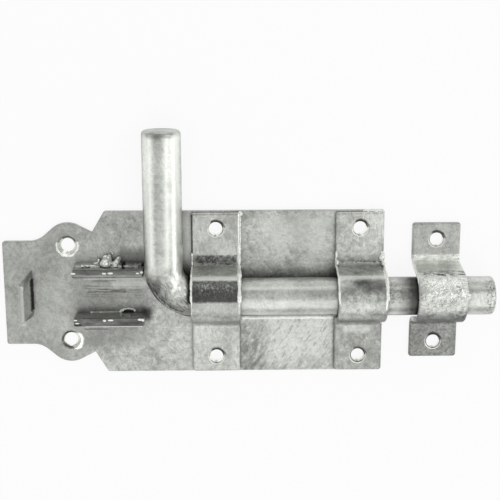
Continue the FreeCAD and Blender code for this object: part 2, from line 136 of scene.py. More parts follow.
def within(tree, mask, value, low, high, soft):
    mask = times(tree, mask, ranged(tree, value, low - soft, low + soft))
    return times(tree, mask, ranged(tree, value, high + soft, high - soft))


def zoneMask(tree, where, zone):
    # its share inside a stretch of the object, 0 outside, with a soft edge broken by noise
    zone = {**plainZone, **zone}
    spot, soft, mask = placed(tree, where), zone["soft"], zone["share"]
    axes = addNode(tree, "ShaderNodeSeparateXYZ", {0: spot}).outputs
    ragged = clouds(tree, spot, zone["ragSize"], detail=3.0, rough=0.6)
    ragged = times(tree, combined(tree, "SUBTRACT", ragged, 0.5), zone["rag"])
    for axis in ("x", "y", "z", "arch"):
        if axis not in zone:
            continue
        low, high = zone[axis]
        if axis == "arch":  # degrees from a strap's crown, here as a length round its arch
            value = combined(tree, "ARCTAN2", axes["Y"], combined(tree, "SUBTRACT", axes["Z"], zinc["archHeight"]))
            value = times(tree, value, zinc["archRadius"])
            low, high = (math.radians(angle) * zinc["archRadius"] for angle in (low, high))
        else:
            value = axes[axis.upper()]
        mask = within(tree, mask, plus(tree, value, ragged), low, high, soft)
    if "ring" in zone:  # the centre's x and y, the inner and the outer radius
        x, y, inner, outer = zone["ring"]
        away = addNode(tree, "ShaderNodeVectorMath", {0: spot, 1: (x, y, 0)}, operation="SUBTRACT").outputs[0]
        away = addNode(tree, "ShaderNodeVectorMath", {0: away, 1: (1, 1, 0)}, operation="MULTIPLY").outputs[0]
        away = addNode(tree, "ShaderNodeVectorMath", {0: away}, operation="LENGTH").outputs["Value"]
        mask = within(tree, mask, plus(tree, away, ragged), inner, outer, soft)
    if "speckle" in zone:
        shift = (zone["share"] * zinc["speckleShift"], 0, 0)
        grains = placed(tree, where, zone["turn"], (1 / zone["stretch"], 1, 1), shift)
        specks = clouds(tree, grains, zone["speckle"], detail=4.0, rough=0.7)
        mask = times(tree, mask, ranged(tree, specks, *zone["specks"]))
    return mask


def galvanised(name, look):
    material, tree = newMaterial(name)
    where = addNode(tree, "ShaderNodeTexCoord").outputs["Object"]
    shift, tint = look["shift"], look["tint"]
    flat = placed(tree, where, shift=shift)
    cloud = clouds(tree, flat, look["cloudSize"], detail=3.0, rough=0.5, warp=0.4)
    mottle = clouds(tree, flat, look["mottleSize"], detail=5.0, rough=0.62, warp=0.6)
    grain = clouds(tree, flat, look["grainSize"], detail=3.0, rough=0.6)
    along = placed(tree, where, look["runTurn"], zinc["runStretch"], shift)
    run = clouds(tree, along, look["runSize"], detail=4.0, rough=0.6, warp=0.8)
    tone = 0.0
    for layer, share in ((cloud, "cloudShare"), (mottle, "mottleShare"), (run, "runShare"), (grain, "grainShare")):
        tone = plus(tree, tone, times(tree, ranged(tree, layer, *zinc["tones"]), look[share]))
    tone = ranged(tree, tone, *look["contrast"])
    colour = blended(tree, tone, grey(look["dark"], tint), grey(look["light"], tint))
    height = times(tree, mottle, zinc["mottleRise"])
    height = plus(tree, height, times(tree, grain, zinc["grainRise"]))
    height = plus(tree, height, times(tree, run, zinc["runRise"]))
    for turn, size, length, share in look["strokes"]:  # short dark strokes where the clouds are thin
        line = clouds(tree, placed(tree, where, turn, (size / length, 1, 1), shift), size, detail=2.0, rough=0.5)
        mask = times(tree, ranged(tree, line, *zinc["strokes"]), ranged(tree, cloud, *zinc["strokeClouds"]))
        mask = times(tree, mask, share)
        colour = blended(tree, mask, colour, grey(look["dark"] * zinc["strokeDark"], tint))
        height = combined(tree, "SUBTRACT", height, times(tree, mask, zinc["strokeDepth"]))
    pimple = ranged(tree, cells(tree, flat, look["pimpleSize"]), *zinc["pimples"])
    pimple = times(tree, pimple, ranged(tree, mottle, *zinc["pimpleMottle"]))
    height = plus(tree, height, times(tree, pimple, zinc["pimpleRise"]))
    colour = blended(tree, times(tree, pimple, look["fleck"]), colour, grey(zinc["fleckGrey"]))
    pitted = placed(tree, where, zinc["pitTurn"], shift=zinc["pitShift"])
    pit = ranged(tree, cells(tree, pitted, look["pitSize"]), *zinc["pits"])
    pit = times(tree, pit, ranged(tree, mottle, *zinc["pitMottle"]))
    colour = blended(tree, times(tree, pit, look["pit"]), colour, grey(zinc["pitGrey"]))
    gloss = plus(tree, times(tree, mottle, 0.5), times(tree, cloud, 0.5))  # half of each
    roughness = ranged(tree, gloss, *zinc["gloss"], look["roughLow"], look["roughHigh"])
    lit, front = 0.0, None
    if "frontFrom" in look:  # a plate's zones stay off its back
        upright = addNode(tree, "ShaderNodeSeparateXYZ", {0: placed(tree, where)}).outputs["Z"]
        front = ranged(tree, upright, look["frontFrom"] - zinc["frontSoft"], look["frontFrom"] + zinc["frontSoft"])
    for zone in look.get("zones", ()):
        mask = zoneMask(tree, where, zone)
        if front is not None and "z" not in zone:
            mask = times(tree, mask, front)
        if "lit" in zone:  # no crevice's shade there
            lit = combined(tree, "MAXIMUM", lit, times(tree, mask, zone["lit"]))
        colour = blended(tree, mask, colour, grey(zone["grey"], tint))
        if "rough" in zone:
            kept = times(tree, roughness, combined(tree, "SUBTRACT", 1.0, mask))
            roughness = plus(tree, kept, times(tree, mask, zone["rough"]))
    bump = addNode(tree, "ShaderNodeBump", {"Height": height, "Strength": look["bump"],
                   "Distance": look["bumpHeight"] * millimetre})
    # painted shade: an occlusion node darkens the colour in crevices, creases and under parts
    paintedCreviceShade = addNode(tree, "ShaderNodeAmbientOcclusion", {"Distance": look["paintedShadeReach"] * millimetre},
                      samples=zinc["paintedShadeSamples"])
    clear = combined(tree, "MAXIMUM", ranged(tree, paintedCreviceShade.outputs["AO"], *look["paintedCreviceShade"]), lit)
    colour = blended(tree, clear, grey(zinc["paintedShadeGrey"]), colour)
    surface = addNode(tree, "ShaderNodeBsdfPrincipled", {"Base Color": colour, "Roughness": roughness,
                      "Normal": bump.outputs[0], "Metallic": look["metallic"]})
    addNode(tree, "ShaderNodeOutputMaterial", {0: surface.outputs[0]})
    return material


screwHoles = {  # their centres, along and across the plate
    "lobes": [(-66, 25.7), (-66, -25.7)], "rearKeeper": [(11.6, 34.6), (11.6, -34.6)],
    "frontKeeper": [(87.0, 34.6), (87.0, -34.6)], "catch": [(127.7, 27.9), (127.7, -27.9)],
}


def holeZones(holes, face):
    # bright zinc painted on each wall, standing in for light, with no painted crevice shade there; and the lip's
    # painted shade on the side away from the light
    zones = []
    for x, y in screwHoles[holes]:
        zones += [
            dict(ring=(x, y, 0, 4.5), z=(-1, face - 0.3), share=1.0, grey=1.0, soft=0.08, rag=0.1, rough=0.25, lit=1),
            dict(ring=(x, y, 3.4, 4.9), x=(x - 2.4, x + 6), y=(y + 0.6, y + 6), share=0.9, grey=0.02, soft=0.35,
                 rag=0.9),
            dict(ring=(x, y, 3.4, 4.5), x=(x - 0.9, x + 0.5), y=(y - 6, y - 2.6), share=0.7, grey=0.02, soft=0.45,
                 rag=0.9)]
    return zones


plateZinc = dict(shift=(13, 5, 2), cloudSize=24, mottleSize=3.2, grainSize=0.9, runTurn=62, runSize=1.5,
                 cloudShare=0.34, mottleShare=0.36, runShare=0.12, grainShare=0.18, contrast=(0.28, 0.72),
                 dark=0.3, light=0.72, tint=0.06, strokes=[(60, 0.8, 4.0, 0.22), (4, 0.8, 7.0, 0.15)],
                 pimpleSize=2.6, fleck=0.5, pitSize=2.3, pit=0.4, roughLow=0.34, roughHigh=0.52,
                 bump=0.6, bumpHeight=0.28, metallic=0.92, paintedShadeReach=7, paintedCreviceShade=(0.1, 0.7))
keeperZinc = dict(plateZinc, cloudSize=15, runTurn=88, strokes=[(84, 0.9, 5.0, 0.3)], roughLow=0.3, roughHigh=0.46)
# zones: x, y and z in millimetres, arch in degrees, share from 0 to 1
looks = {
    "basePlateZinc": dict(plateZinc, frontFrom=1.6, zones=[
        # the tongue, the lobes and the plate round the lower lug are darker
        dict(x=(-120, -62), y=(-60, 60), share=0.42, grey=0.28, soft=12, rag=8, ragSize=14),
        dict(x=(-80, -32), y=(20, 60), share=0.18, grey=0.3, soft=3, rag=5, ragSize=8),
        dict(x=(-66, -24), y=(-30, 11), share=0.45, grey=0.22, soft=3, rag=5, ragSize=8),
        # painted light beside the handle, lifting the plate out of its shade
        dict(x=(-27, 0), y=(16, 42), share=0.6, grey=0.8, soft=3, rag=5, ragSize=8),
        # the field below the bar, with slanting strokes, and the one above it
        dict(x=(34, 76), y=(-41, -14), share=0.35, grey=0.85, soft=3, rag=14, ragSize=9),
        dict(x=(34, 76), y=(-44, -12), share=0.55, grey=0.12, soft=2, rag=8, speckle=1.2, specks=(0.52, 0.66),
             turn=-52, stretch=4),
        dict(x=(24, 76), y=(-44, -36), share=0.3, grey=0.2, soft=2, rag=4, speckle=2.4, specks=(0.4, 0.6)),
        dict(x=(36, 73), y=(22, 41), share=0.4, grey=0.75, soft=4, rag=14, ragSize=11),
        dict(x=(26, 76), y=(12, 44), share=0.35, grey=0.12, soft=2, rag=8, speckle=1.1, specks=(0.56, 0.7), turn=20,
             stretch=3),
        # the stain beside the rear keeper
        dict(x=(23, 38), y=(-60, -16), share=0.7, grey=0.12, soft=3, rag=10, ragSize=6, speckle=2.6,
             specks=(0.35, 0.6), turn=-60, stretch=2.4),
        # streaks between the lugs, and lines along their welds
        dict(x=(-58, -28), y=(-3, 6), share=0.5, grey=0.12, soft=1.5, rag=3, speckle=0.9, specks=(0.45, 0.56),
             turn=1, stretch=16),
        dict(x=(-56, -36), y=(0.2, 2.2), share=0.6, grey=0.06, soft=0.4, rag=1.4, speckle=1.6, specks=(0.4, 0.56),
             turn=1, stretch=5),
        dict(x=(-44, -25), y=(3.0, 6.6), share=0.4, grey=0.85, soft=1.3, rag=3.0),
        dict(x=(-58, -27), y=(7.2, 8.6), share=0.3, grey=0.85, soft=0.4, rag=0.8),
        dict(x=(-54, -41), y=(6.2, 6.8), share=0.6, grey=0.05, soft=0.2, rag=0.6),
        dict(x=(-58, -28), y=(-18.8, -18.1), share=0.6, grey=0.9, soft=0.2, rag=0.5, lit=0.4),
        dict(x=(-59, -46), y=(-20.2, -19.6), share=0.6, grey=0.05, soft=0.2, rag=0.6),
        # slightly darker beside the upper lug's fillet, with the painted crevice shade left off
        dict(x=(-63, -49.6), y=(15, 21), share=0.3, grey=0.35, soft=1.5, lit=3),
        # shade at the lugs' right ends
        dict(x=(-40, -25), y=(15.4, 23.5), share=0.6, grey=0.06, soft=2.2, rag=3.0),
        dict(x=(-28, -22.6), y=(-15, -8), share=0.85, grey=0.02, soft=1.4, rag=2.4),
        # painted shade of the lower lug inside the drips under its hole
        dict(x=(-38.8, -32), y=(-10.7, -9.4), share=0.95, grey=0.01, soft=0.3, rag=0.6),
        *holeZones("lobes", 3.0),
        # lit and shaded parts of the countersinks
        dict(ring=(-66, 25.7, 4.3, 6.0), y=(18, 27.5), share=0.85, grey=1.0, soft=0.4, rag=2.4, ragSize=3, lit=1,
             rough=0.25),
        dict(ring=(-66, -25.7, 3.6, 6.6), x=(-64.6, -58), y=(-31, -22), share=1.0, grey=1.0, lit=1, rough=0.25),
        dict(ring=(-66, -25.7, 3.5, 4.8), x=(-72, -65), share=0.9, grey=0.02, soft=0.4, rag=1.2),
        # a painted highlight on the plate below the bar
        dict(x=(25.4, 74), y=(-15.1, -14.2), z=(2.5, 3.5), share=0.55, grey=1.0, soft=0.25, rag=1.0, lit=0.6,
             rough=0.25),
        *holeZones("rearKeeper", 3.4), *holeZones("frontKeeper", 3.4),
        # the pressed stop: painted light on its edge, painted shade on its slope and on the face at its raised end
        dict(x=(-92.8, -89.3), y=(-18, 4), z=(3.15, 8), share=0.7, grey=0.95, soft=0.3, rag=0.3),
        dict(x=(-89.6, -85.6), y=(-18, 12), z=(3.6, 8), share=0.6, grey=0.15, rag=0.6),
        dict(x=(-85.75, -84.7), y=(-9, 8), z=(2.5, 7.5), share=0.9, grey=0.02, soft=0.3, rag=1.2, rough=0.6),
    ]),
    "rearKeeperZinc": dict(keeperZinc, shift=(3, 41, 8), mottleSize=2.8, dark=0.36, light=0.7, zones=[
        # the upper leg, and painted shade in the crease at its foot
        dict(y=(11.0, 17.2), arch=(66, 130), share=0.2, grey=0.12, rag=1.0, speckle=1.4, specks=(0.4, 0.6)),
        dict(y=(11.0, 17.2), arch=(66, 130), share=0.3, grey=0.8, rag=1.0, speckle=1.2, specks=(0.48, 0.62), turn=4,
             stretch=3),
        dict(x=(-2, 24), y=(15.8, 20.6), share=0.45, grey=0.08, soft=0.4, rag=1.6),
        dict(x=(1.4, 22.4), y=(15.8, 20.6), share=0.88, grey=0.02, soft=0.6, rag=2.6, speckle=1.4,
             specks=(0.36, 0.6)),
        # a painted highlight on the shoulder, and a painted dark reflection over the arch with painted glints
        dict(x=(-2, 26), arch=(53, 66), share=0.5, grey=0.85, rag=0.5),
        dict(x=(-0.4, 23.7), arch=(3, 52), share=0.84, grey=0.03, soft=0.6, rag=1.4),
        dict(x=(2, 21), arch=(20, 50), share=0.6, grey=0.7, soft=2.5, rag=9, ragSize=4, speckle=0.9,
             specks=(0.48, 0.66), turn=70, stretch=2),
        dict(x=(-2, 26), arch=(-22, 0), share=0.25, grey=0.2, soft=1.0, rag=1.0),
        *holeZones("rearKeeper", 6.0),
        # the lower leg's painted shade, and painted highlights on the cut edges
        dict(arch=(-84, -46), share=0.45, grey=0.1, soft=2.0, rag=1.0),
        dict(x=(-1.6, -0.3), y=(-6, 22), share=1.0, grey=1.0, soft=0.25, rag=0.4, rough=0.2),
        dict(x=(23.4, 24.8), y=(-6, 45), share=1.0, grey=1.0, soft=0.25, rag=0.4, rough=0.2)]),
    "frontKeeperZinc": dict(keeperZinc, shift=(23, 61, 18), mottleSize=3.0, dark=0.34, light=0.74, zones=[
        # the upper leg, and painted shade in its crease
        dict(y=(11.0, 20.4), arch=(66, 130), share=0.22, grey=0.1, rag=0.8, speckle=1.6, specks=(0.3, 0.6)),
        dict(y=(16.4, 17.4), share=0.8, grey=0.02, soft=0.3, rag=0.8, speckle=1.1, specks=(0.46, 0.56)),
        # a painted highlight on the shoulder, and painted dark and bright reflections over the arch
        dict(arch=(53, 65), share=0.5, grey=0.85, rag=0.6),
        dict(x=(80, 99), arch=(28, 53), share=0.4, grey=0.04, soft=2.2, rag=4.0, ragSize=6),
        dict(x=(83, 90), arch=(36, 51), share=0.7, grey=0.02, soft=1.4, rag=4.0, ragSize=4),
        dict(x=(89, 99), arch=(30, 51), share=0.45, grey=0.02, soft=1.4, rag=4.0, ragSize=4),
        dict(x=(76, 97), arch=(2, 26), share=0.5, grey=1.0, soft=1.0, speckle=1.1, specks=(0.56, 0.66), turn=20,
             stretch=3),
        *holeZones("frontKeeper", 6.0),
        dict(x=(93, 99), arch=(4, 50), share=0.45, grey=0.1, soft=1.0, rag=5.0, ragSize=4, speckle=1.8,
             specks=(0.35, 0.6)),
        # the lower leg's painted shade, painted highlights on the cut edges, and the lower flange
        dict(arch=(-84, -44), share=0.6, grey=0.08, soft=2.0, rag=1.0),
        dict(x=(98.4, 101), y=(-4, 22), share=1.0, grey=1.0, soft=0.25, rag=0.4, rough=0.2),
        dict(x=(73.5, 75.1), y=(-1, 22), share=0.9, grey=1.0, soft=0.25, rag=0.4, rough=0.2),
        dict(x=(73, 101), y=(-44, -17), share=0.18, grey=0.2, soft=2, rag=4),
        dict(x=(73, 101), y=(-44, -17), share=0.5, grey=0.16, soft=2, rag=6, ragSize=5, speckle=3.0,
             specks=(0.32, 0.6)),
        dict(x=(79, 94), y=(-22, -18.5), share=0.3, grey=1.0, soft=1.2, rag=2.6)]),
    "catchZinc": dict(plateZinc, shift=(71, 23, 8), cloudSize=11, mottleSize=1.9, grainSize=0.7, runTurn=84, dark=0.4,
                      light=0.84, strokes=[(75, 1.0, 4.0, 0.3)], roughLow=0.24, roughHigh=0.38, bump=1.0,
                      bumpHeight=0.5, zones=[
        # the upper flange
        dict(x=(110, 145), y=(19.6, 40), share=0.55, grey=0.3, soft=0.6, rag=1),
        # painted highlight in bright specks over the crown and its lumps, and dark specks
        dict(x=(119, 145), arch=(10, 58), share=0.95, grey=1.0, soft=2.5, rag=5.0, ragSize=4, speckle=2.6,
             specks=(0.32, 0.54), rough=0.22),
        dict(x=(117, 145), arch=(-30, 56), share=0.6, grey=0.05, soft=2.5, rag=3.0, speckle=0.7, specks=(0.58, 0.7)),
        # painted light on the upper leg, and the lower leg's painted shade
        dict(x=(110, 145), y=(-1, 18.6), arch=(56, 120), share=0.45, grey=0.9, soft=1.2, rag=1.0),
        dict(arch=(-90, -34), share=0.85, grey=0.05, soft=3.4, rag=3.0),
        # the lower flange, and the stain at its right
        dict(x=(110, 145), y=(-40, -14), share=0.55, grey=0.1, soft=1),
        dict(x=(110, 145), y=(-40, -14), share=0.4, grey=0.05, soft=1, speckle=1.5, specks=(0.4, 0.6)),
        dict(x=(132, 142), arch=(-70, -20), share=0.6, grey=0.03, soft=2, rag=4.0, speckle=1.6, specks=(0.45, 0.6)),
        # painted light on the fold at the upper leg's foot, and the wrinkles over it
        dict(x=(110, 145), y=(13, 19.8), z=(2.4, 8.5), share=0.3, grey=0.6, soft=0.8, rag=1.0, lit=2.4),
        dict(x=(110, 145), y=(11, 19.8), z=(2.4, 8.5), share=0.95, grey=1.0, soft=0.6, speckle=2.6,
             specks=(0.38, 0.56), rough=0.3, lit=1),
        dict(x=(118, 145), arch=(58, 80), share=0.8, grey=0.02, soft=0.8, rag=1.6, speckle=0.9, specks=(0.47, 0.58),
             turn=8, stretch=5),
        *holeZones("catch", 3.0)]),
    "lugZinc": dict(plateZinc, shift=(9, 17, 31), cloudSize=12, runTurn=0, runSize=0.9, runShare=0.4, dark=0.26,
                    light=0.6, strokes=[(2, 0.8, 12.0, 0.5)], roughLow=0.28, roughHigh=0.45, zones=[
        # the lugs' top faces, a painted highlight line along the upper one's top, and painted light on its end
        dict(y=(0, 20), z=(14.0, 16), share=0.72, grey=0.07, soft=0.3, rag=0.5),
        dict(y=(11.4, 12.4), z=(14.0, 16), share=0.5, grey=0.6, soft=0.4, rag=0.8),
        dict(y=(-20, 0), z=(14.0, 16), share=0.74, grey=0.05, soft=0.3, rag=0.5),
        dict(x=(-26.5, -25), y=(9, 16), share=0.6, grey=0.9, soft=0.3, lit=1.5),
        dict(z=(14.0, 16), share=0.45, grey=0.03, soft=0.3, rag=0.5, speckle=1.1, specks=(0.4, 0.64), turn=1,
             stretch=9),
        # the lower lug's side and the stains on its top
        dict(y=(-16, 0), z=(2, 16), share=0.2, grey=0.08, soft=0.4, rag=0.5),
        dict(y=(-16, 0), z=(2, 13.6), share=0.5, grey=0.55, soft=0.4, rag=1.0, speckle=2.4, specks=(0.42, 0.6),
             turn=1, stretch=3),
        dict(y=(-16, 0), z=(14.2, 16), share=0.2, grey=0.5, soft=0.3, rag=1.0, speckle=1.8, specks=(0.45, 0.62),
             turn=1, stretch=4),
        dict(x=(-40, -26), y=(-16, -12.2), z=(14, 16), share=0.6, grey=0.02, soft=1.2),
        dict(x=(-63, -58.4), y=(-15.6, -13.8), z=(14, 16), share=0.8, grey=0.02, rag=1.0)]),
    "barZinc": dict(plateZinc, shift=(37, 2, 19), cloudSize=17, runTurn=4, dark=0.48, light=0.9, mottleSize=2.2,
                    mottleShare=0.24, grainShare=0.12, contrast=(0.2, 0.64), strokes=[(70, 1.0, 4.0, 0.25)],
                    roughLow=0.26, roughHigh=0.42, paintedShadeReach=24, paintedCreviceShade=(0.1, 0.9), zones=[
        # painted shade on the bar's underside and lower edge, and painted darker reflections in bands between the
        # keepers
        dict(z=(0, 9), share=0.5, grey=0.1, soft=2.4, rag=1.0),
        dict(x=(20, 112), arch=(-40, 2), share=0.25, grey=0.45, soft=2.0, rag=1.0),
        dict(x=(2, 112), arch=(-100, -56), share=0.6, grey=0.06, soft=1.6, rag=0.8),
        dict(x=(25, 157), arch=(26, 62), share=0.3, grey=0.3, soft=1.4, rag=1.6),
        # painted shade on the handle's edges, painted highlight bands, and a grey middle between them
        dict(x=(-5.7, -3), y=(14, 92), share=0.3, grey=0.15, soft=0.6, rag=0.5),
        dict(x=(-28, -24.2), y=(18, 92), share=0.4, grey=0.15, soft=0.6, rag=0.5),
        dict(x=(-23.6, -19.8), y=(18, 84), share=0.5, grey=1.0, soft=1.0, rag=1.6),
        dict(x=(-13.6, -9.6), y=(18, 84), share=0.5, grey=1.0, soft=1.0, rag=1.6),
        dict(x=(-9.8, -6.2), y=(18, 84), share=0.8, grey=1.0, soft=0.8, rag=1.4),
        dict(x=(-19.0, -14.0), y=(24, 92), share=0.34, grey=0.35, soft=1.6),
        # the hammered bend: painted shade on its flats and round its outer side, painted light on its inner side, and
        # a painted highlight and shade along the ridge
        dict(x=(-24, -15.5), y=(4, 13), z=(14, 26), share=0.6, grey=0.1, soft=1.6, rag=2.4),
        dict(x=(-30, 2), y=(-14, 7), share=0.5, grey=0.12, soft=4.0, rag=6.0, ragSize=5),
        dict(x=(-30, 0), y=(-14, 11), z=(12, 26), share=0.7, grey=0.05, soft=2, speckle=1.0, specks=(0.46, 0.62),
             turn=48, stretch=4),
        dict(x=(-9.8, -1), y=(3, 28), z=(12, 26), share=1.0, grey=1.0, soft=1.4, rag=3.0, rough=0.3, lit=0.9),
        dict(x=(-9.4, -1), y=(4, 14), z=(14, 26), share=0.7, grey=0.04, soft=1.0, rag=1.0, speckle=1.0,
             specks=(0.55, 0.66), turn=60, stretch=4),
        dict(ring=(0.3, 15.5, 23.6, 27), x=(-40, 1), y=(-30, 9), z=(15.6, 21), share=0.92, grey=0.02, soft=0.4,
             rag=0.9),
        dict(ring=(0.3, 15.5, 23.6, 27), x=(-40, 1), y=(-30, 9), z=(10, 16), share=0.6, grey=0.1, soft=1.2, rag=3.0,
             speckle=2.0, specks=(0.4, 0.6)),
        dict(ring=(0.3, 15.5, 22.6, 23.5), x=(-40, -7), y=(-30, 5), z=(18.8, 26), share=0.6, grey=0.9, soft=0.6,
             rag=0.9, speckle=3.0, specks=(0.3, 0.5)),
        dict(ring=(0.3, 15.5, 21.3, 22.5), x=(-40, -5), y=(-30, 7), z=(14, 26), share=0.9, grey=0.02, soft=0.3,
             rag=0.6, speckle=2.0, specks=(0.42, 0.54)),
        # the shade at the rear keeper, the handle's end, and the bar's tip in and past the catch
        dict(x=(-3.2, -0.9), y=(-1, 14), share=0.95, grey=0.01, soft=0.6, rag=1.0),
        dict(x=(-30, 0), y=(84.8, 92), share=0.25, grey=0.2, soft=0.8, rag=1.0),
        dict(x=(-22.5, -9), y=(83.4, 85), z=(12, 30), share=0.55, grey=0.08, soft=0.8, rag=1.6),
        dict(x=(106.5, 117), share=0.45, grey=0.04, soft=2.4, rag=5.0, ragSize=4),
        dict(x=(110.5, 117), share=0.75, grey=0.01, soft=1.8, rag=4.0),
        dict(x=(98, 109), z=(16, 26), y=(-2, 8), share=0.6, grey=0.08, soft=1.0, rag=3.0, speckle=1.1,
             specks=(0.45, 0.62)),
        dict(x=(150.5, 157), y=(-9, 9), share=0.8, grey=0.04, soft=1.0, rag=3.0, speckle=1.2, specks=(0.5, 0.62))]),
    "filletZinc": dict(plateZinc, shift=(15, 3, 21), cloudSize=7, mottleSize=1.8, dark=0.34, light=0.66, zones=[
        # painted shade standing in for two holes in the weld
        dict(x=(-37.4, -35.6), y=(14, 17.2), share=0.97, grey=0.01, soft=0.3, rough=0.6),
        dict(x=(-48.8, -46.8), y=(14.6, 16.4), z=(5, 12), share=0.9, grey=0.01, soft=0.3, rag=0.6),
        # the left part lighter, its painted crevice shade left off, and painted shade over the right part
        dict(x=(-62, -49.6), y=(12, 22), share=0.5, grey=0.5, soft=1, rag=1.5, lit=1.8),
        dict(x=(-35, -26), y=(12, 22), share=0.3, grey=0.1, soft=2)]),
    "beadZinc": dict(plateZinc, shift=(25, 13, 1), cloudSize=5, mottleSize=1.4, dark=0.92, light=1.0, strokes=[],
                     roughLow=0.12, roughHigh=0.22, bump=0.3, metallic=0.3, pit=0.1, paintedShadeReach=1.0,
                     paintedCreviceShade=(0, 0.3)),
    "weldZinc": dict(plateZinc, shift=(5, 53, 11), cloudSize=6, mottleSize=1.3, dark=0.8, light=1.0,
                     strokes=[(40, 0.5, 3.0, 0.5)], roughLow=0.1, roughHigh=0.25, bump=0.8, metallic=0.5, pit=0.6,
                     paintedShadeReach=1.4, paintedCreviceShade=(0.1, 0.5)),
}
finishes = {name: galvanised(name, look) for name, look in looks.items()}
print("slide bolt: finishes made,", ", ".join(finishes))

finishOf = {
    "base_plate": "basePlateZinc", "rear_keeper": "rearKeeperZinc", "front_keeper": "frontKeeperZinc",
    "upper_lug": "lugZinc", "lower_lug": "lugZinc", "bolt": "barZinc", "catch": "catchZinc",
    "upper_lug_weld": "weldZinc", "lower_lug_weld": "weldZinc",
    "rear_keeper_weld": "weldZinc", "front_keeper_weld": "weldZinc",
}
for name, finish in finishOf.items():
    nodes[name].data.materials.clear()
    nodes[name].data.materials.append(finishes[finish])
print("slide bolt: finishes on the solids")


# The bolt: one round bar, bent for the handle, its outer bend hammered flat

bar = {
    "bendRadius": 15.5, "tipRound": 1.6, "handleRound": 2.4,
    "around": 112, "stationStep": 0.8, "bendSteps": 44, "roundSteps": 6, "endRings": (0.0, 0.35, 0.7),
    "facetTurn": 20, "ridgeTurn": 43, "ridgeWidth": 3.4, "hammerTurn": 95,  # degrees above the bend's outer side
    "facetFrom": 0.12, "facetRise": 0.16, "facetTo": 0.92, "facetFall": 0.2,  # shares of the bend
    "facetDepth": 0.75, "facetLimit": 0.3, "ridgeHeight": 0.28,
    "waver": 0.09, "waverSize": 7.0, "grain": 0.035, "grainSize": 1.6,
    "hammer": 0.3, "hammerSize": 2.6, "hammerShift": (3, 8, 1),
}


def barStations(radius, handlePlace, handleEnd, tip):
    # centre x, centre y, outward x, outward y, radius and share of the bend, from the handle's end to the tip;
    # the share is -1 on the handle and 2 past the bend
    bend, stations = bar["bendRadius"], []
    corner = (handlePlace + bend, bend)

    def rounded(size):
        return [(size * (1 - math.cos(turn)), radius - size + size * math.sin(turn))
                for turn in (math.radians(90 * count / bar["roundSteps"])
                             for count in range(bar["roundSteps"] + 1))]

    for share in bar["endRings"]:
        stations.append((handlePlace, handleEnd, -1, 0, share * (radius - bar["handleRound"]), -1))
    for depth, width in rounded(bar["handleRound"]):
        stations.append((handlePlace, handleEnd - depth, -1, 0, width, -1))
    straight = handleEnd - bar["handleRound"] - corner[1]
    for count in range(1, int(straight / bar["stationStep"])):
        y = handleEnd - bar["handleRound"] - count * bar["stationStep"]
        stations.append((handlePlace, y, -1, 0, radius, -1))
    for count in range(bar["bendSteps"] + 1):
        share = count / bar["bendSteps"]
        turn = math.radians(90 * count / bar["bendSteps"])
        out = (-math.cos(turn), -math.sin(turn))
        stations.append((corner[0] + bend * out[0], corner[1] + bend * out[1], *out, radius, share))
    last = tip - bar["tipRound"]
    for count in range(1, int((last - corner[0]) / bar["stationStep"])):
        stations.append((corner[0] + count * bar["stationStep"], 0, 0, -1, radius, 2))
    for depth, width in reversed(rounded(bar["tipRound"])):
        stations.append((tip - depth, 0, 0, -1, width, 2))
    for share in reversed(bar["endRings"]):
        stations.append((tip, 0, 0, -1, share * (radius - bar["tipRound"]), 2))
    return stations


def barReach(turn, radius, bendShare):
    # how far the bar's skin stands from its axis, at an angle above the bend's outer side
    if not 0 <= bendShare <= 1:
        return radius
    rise = min(1, max(0, (bendShare - bar["facetFrom"]) / bar["facetRise"]))
    rise *= min(1, max(0, (bar["facetTo"] - bendShare) / bar["facetFall"]))
    rise = rise * rise * (3 - 2 * rise)  # eased at both ends
    away = math.cos(turn - math.radians(bar["facetTurn"]))
    flat = radius - bar["facetDepth"] * rise
    reach = min(radius, flat / away) if away > bar["facetLimit"] else radius
    offRidge = (math.degrees(turn) - bar["ridgeTurn"]) / bar["ridgeWidth"]
    return reach + bar["ridgeHeight"] * rise * math.exp(-offRidge * offRidge)


def makeBolt():
    low, high = (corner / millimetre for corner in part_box("bolt"))
    radius, height = (high.z - low.z) / 2, (high.z + low.z) / 2
    shape, rings = bmesh.new(), []
    for x, y, outX, outY, width, bendShare in barStations(radius, low.x + radius, high.y, high.x):
        if width == 0:
            rings.append([shape.verts.new(Vector((x, y, height)) * millimetre)])
            continue
        ring = []
        for count in range(bar["around"]):
            turn = 2 * math.pi * count / bar["around"]
            turn = turn if turn <= math.pi else turn - 2 * math.pi
            skin = Vector((outX * math.cos(turn), outY * math.cos(turn), math.sin(turn)))
            point = Vector((x, y, height)) + skin * barReach(turn, width, bendShare)
            point += skin * bar["waver"] * noise.noise(point / bar["waverSize"])
            point += skin * bar["grain"] * noise.noise(point / bar["grainSize"])
            if 0 <= bendShare <= 1:
                facing = max(0, math.cos(turn - math.radians(bar["hammerTurn"])))
                beaten = math.sin(math.pi * bendShare) ** 0.5 * facing
                dent = noise.noise(Vector(bar["hammerShift"]) + point / bar["hammerSize"])
                point += skin * bar["hammer"] * beaten * dent
            ring.append(shape.verts.new(point * millimetre))
        rings.append(ring)
    for before, after in zip(rings, rings[1:]):
        for count in range(bar["around"]):
            following = (count + 1) % bar["around"]
            if len(before) == 1:
                shape.faces.new((before[0], after[following], after[count]))
            elif len(after) == 1:
                shape.faces.new((before[count], before[following], after[0]))
            else:
                shape.faces.new((before[count], before[following], after[following], after[count]))
    finished("bentBolt", shape, "bolt", "barZinc", "galvanised_bar", "bolt")


